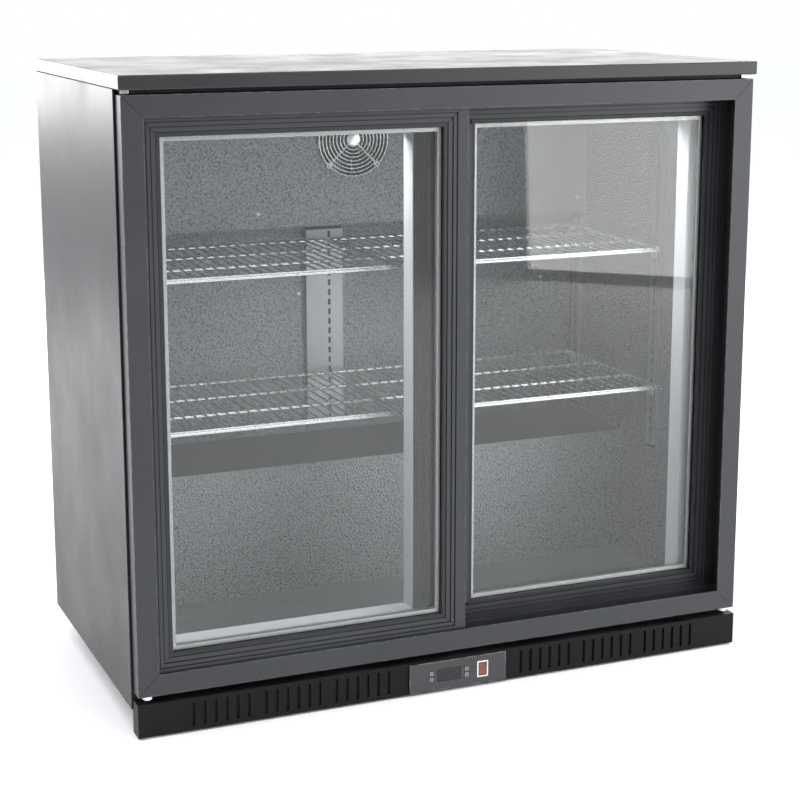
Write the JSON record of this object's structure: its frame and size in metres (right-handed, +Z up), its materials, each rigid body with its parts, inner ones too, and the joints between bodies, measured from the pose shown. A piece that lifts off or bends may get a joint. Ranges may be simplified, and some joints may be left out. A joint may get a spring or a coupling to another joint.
{
  "type": "undercounter refrigerator",
  "caption": "Undercounter back-bar refrigerator with two sliding glass doors, wire shelves and a slotted kick grille.",
  "frame": {"origin": "on the floor under the middle of the cabinet, midway between its front and back", "axes": "+X to the right seen from the front, +Y from the doors towards the back, +Z up"},
  "size_m": [0.9, 0.47, 0.85],
  "materials": {
    "graphite_paint": "semi-gloss powder coat",
    "shell_paint": "semi-gloss powder coat",
    "embossed_aluminium": "stucco embossed",
    "pale_trim": "satin",
    "black_rubber": "matt",
    "black_plastic": "fine grained",
    "insulation_foam": "foamed",
    "double_glazing": "clear",
    "bright_wire": "bright plated",
    "support_strip": "satin",
    "panel_plastic": "satin",
    "display_window": "gloss",
    "switch_red": "semi-gloss",
    "button_grey": "matt",
    "roller_nylon": "satin",
    "coil_fins": "bare",
    "compressor_black": "semi-matt",
    "pile_seal": "pile"
  },
  "bodies": {
    "cabinet": {"worktop": "shell_paint", "left_side_panel": "shell_paint", "right_side_panel": "shell_paint", "back_panel": "shell_paint", "rear_grille": "shell_paint", "base_pan": "shell_paint", "cable_gland": "black_plastic", "kick_grille": "black_plastic", "evaporator_fan_housing": "black_plastic", "foot_front_left": "black_plastic", "foot_front_right": "black_plastic", "foot_rear_left": "black_plastic", "foot_rear_right": "black_plastic", "inner_liner": "embossed_aluminium", "evaporator_cover": "embossed_aluminium", "insulation_body": "insulation_foam", "throat_trim": "pale_trim", "centre_mullion": "pale_trim", "mullion_seal": "black_rubber", "frame_head": "graphite_paint", "frame_sill": "graphite_paint", "frame_jamb_left": "graphite_paint", "frame_jamb_right": "graphite_paint", "fan_guard": "bright_wire", "shelf_lower_left": "bright_wire", "shelf_lower_right": "bright_wire", "shelf_upper_left": "bright_wire", "shelf_upper_right": "bright_wire", "pilaster_left_front": "support_strip", "pilaster_left_rear": "support_strip", "pilaster_right_front": "support_strip", "pilaster_right_rear": "support_strip", "pilaster_rear_centre": "support_strip", "evaporator_coil": "coil_fins", "condenser_coil": "coil_fins", "compressor": "compressor_black", "control_panel": "panel_plastic", "thermostat_display": "display_window"},
    "left_door": {"left_door_top_rail": "graphite_paint", "left_door_bottom_rail": "graphite_paint", "left_door_outer_stile": "graphite_paint", "left_door_meeting_stile": "graphite_paint", "left_door_glass": "double_glazing", "left_door_pile_seal": "pile_seal"},
    "right_door": {"right_door_top_rail": "graphite_paint", "right_door_bottom_rail": "graphite_paint", "right_door_outer_stile": "graphite_paint", "right_door_meeting_stile": "graphite_paint", "right_door_glass": "double_glazing"},
    "left_door_roller_left": {"left_door_roller_left": "roller_nylon"},
    "left_door_roller_right": {"left_door_roller_right": "roller_nylon"},
    "right_door_roller_left": {"right_door_roller_left": "roller_nylon"},
    "right_door_roller_right": {"right_door_roller_right": "roller_nylon"},
    "evaporator_fan": {"evaporator_fan": "black_plastic"},
    "condenser_fan": {"condenser_fan": "black_plastic"},
    "button_upper_left": {"button_upper_left": "button_grey"},
    "button_upper_right": {"button_upper_right": "button_grey"},
    "button_lower_left": {"button_lower_left": "button_grey"},
    "button_lower_right": {"button_lower_right": "button_grey"},
    "rocker_switch": {"rocker_switch": "switch_red"}
  },
  "joints": [
    {"name": "left_door_slide", "type": "slide", "parent": "cabinet", "child": "left_door", "axis": [1, 0, 0], "range_m": [0, 0.4155]},
    {"name": "right_door_slide", "type": "slide", "parent": "cabinet", "child": "right_door", "axis": [-1, 0, 0], "range_m": [0, 0.4155]},
    {"name": "left_door_roller_left_spin", "type": "hinge", "parent": "left_door", "child": "left_door_roller_left", "pos_m": [-0.3615, -0.213, 0.0793], "axis": [0, 1, 0], "continuous": true},
    {"name": "left_door_roller_right_spin", "type": "hinge", "parent": "left_door", "child": "left_door_roller_right", "pos_m": [-0.054, -0.213, 0.0793], "axis": [0, 1, 0], "continuous": true},
    {"name": "right_door_roller_left_spin", "type": "hinge", "parent": "right_door", "child": "right_door_roller_left", "pos_m": [0.054, -0.18, 0.0793], "axis": [0, -1, 0], "continuous": true},
    {"name": "right_door_roller_right_spin", "type": "hinge", "parent": "right_door", "child": "right_door_roller_right", "pos_m": [0.3615, -0.18, 0.0793], "axis": [0, -1, 0], "continuous": true},
    {"name": "evaporator_fan_spin", "type": "hinge", "parent": "cabinet", "child": "evaporator_fan", "pos_m": [0, 0.1615, 0.727], "axis": [0, -1, 0], "continuous": true},
    {"name": "condenser_fan_spin", "type": "hinge", "parent": "cabinet", "child": "condenser_fan", "pos_m": [-0.244, 0.1449, 0.1095], "axis": [1, 0, 0], "continuous": true},
    {"name": "button_upper_left_press", "type": "slide", "parent": "cabinet", "child": "button_upper_left", "axis": [0, 1, 0], "range_m": [0, 0.001], "stiffness_N_per_m": 600},
    {"name": "button_upper_right_press", "type": "slide", "parent": "cabinet", "child": "button_upper_right", "axis": [0, 1, 0], "range_m": [0, 0.001], "stiffness_N_per_m": 600},
    {"name": "button_lower_left_press", "type": "slide", "parent": "cabinet", "child": "button_lower_left", "axis": [0, 1, 0], "range_m": [0, 0.001], "stiffness_N_per_m": 600},
    {"name": "button_lower_right_press", "type": "slide", "parent": "cabinet", "child": "button_lower_right", "axis": [0, 1, 0], "range_m": [0, 0.001], "stiffness_N_per_m": 600},
    {"name": "rocker_switch_tip", "type": "hinge", "parent": "cabinet", "child": "rocker_switch", "pos_m": [0.0395, -0.2288, 0.0255], "axis": [1, 0, 0], "range_deg": [0, 14]}
  ],
  "couplings": [
    {"joint": "left_door_roller_left_spin", "follows": "left_door_slide", "rad_per_m": 111.11},
    {"joint": "left_door_roller_right_spin", "follows": "left_door_slide", "rad_per_m": 111.11},
    {"joint": "right_door_roller_left_spin", "follows": "right_door_slide", "rad_per_m": 111.11},
    {"joint": "right_door_roller_right_spin", "follows": "right_door_slide", "rad_per_m": 111.11}
  ]
}
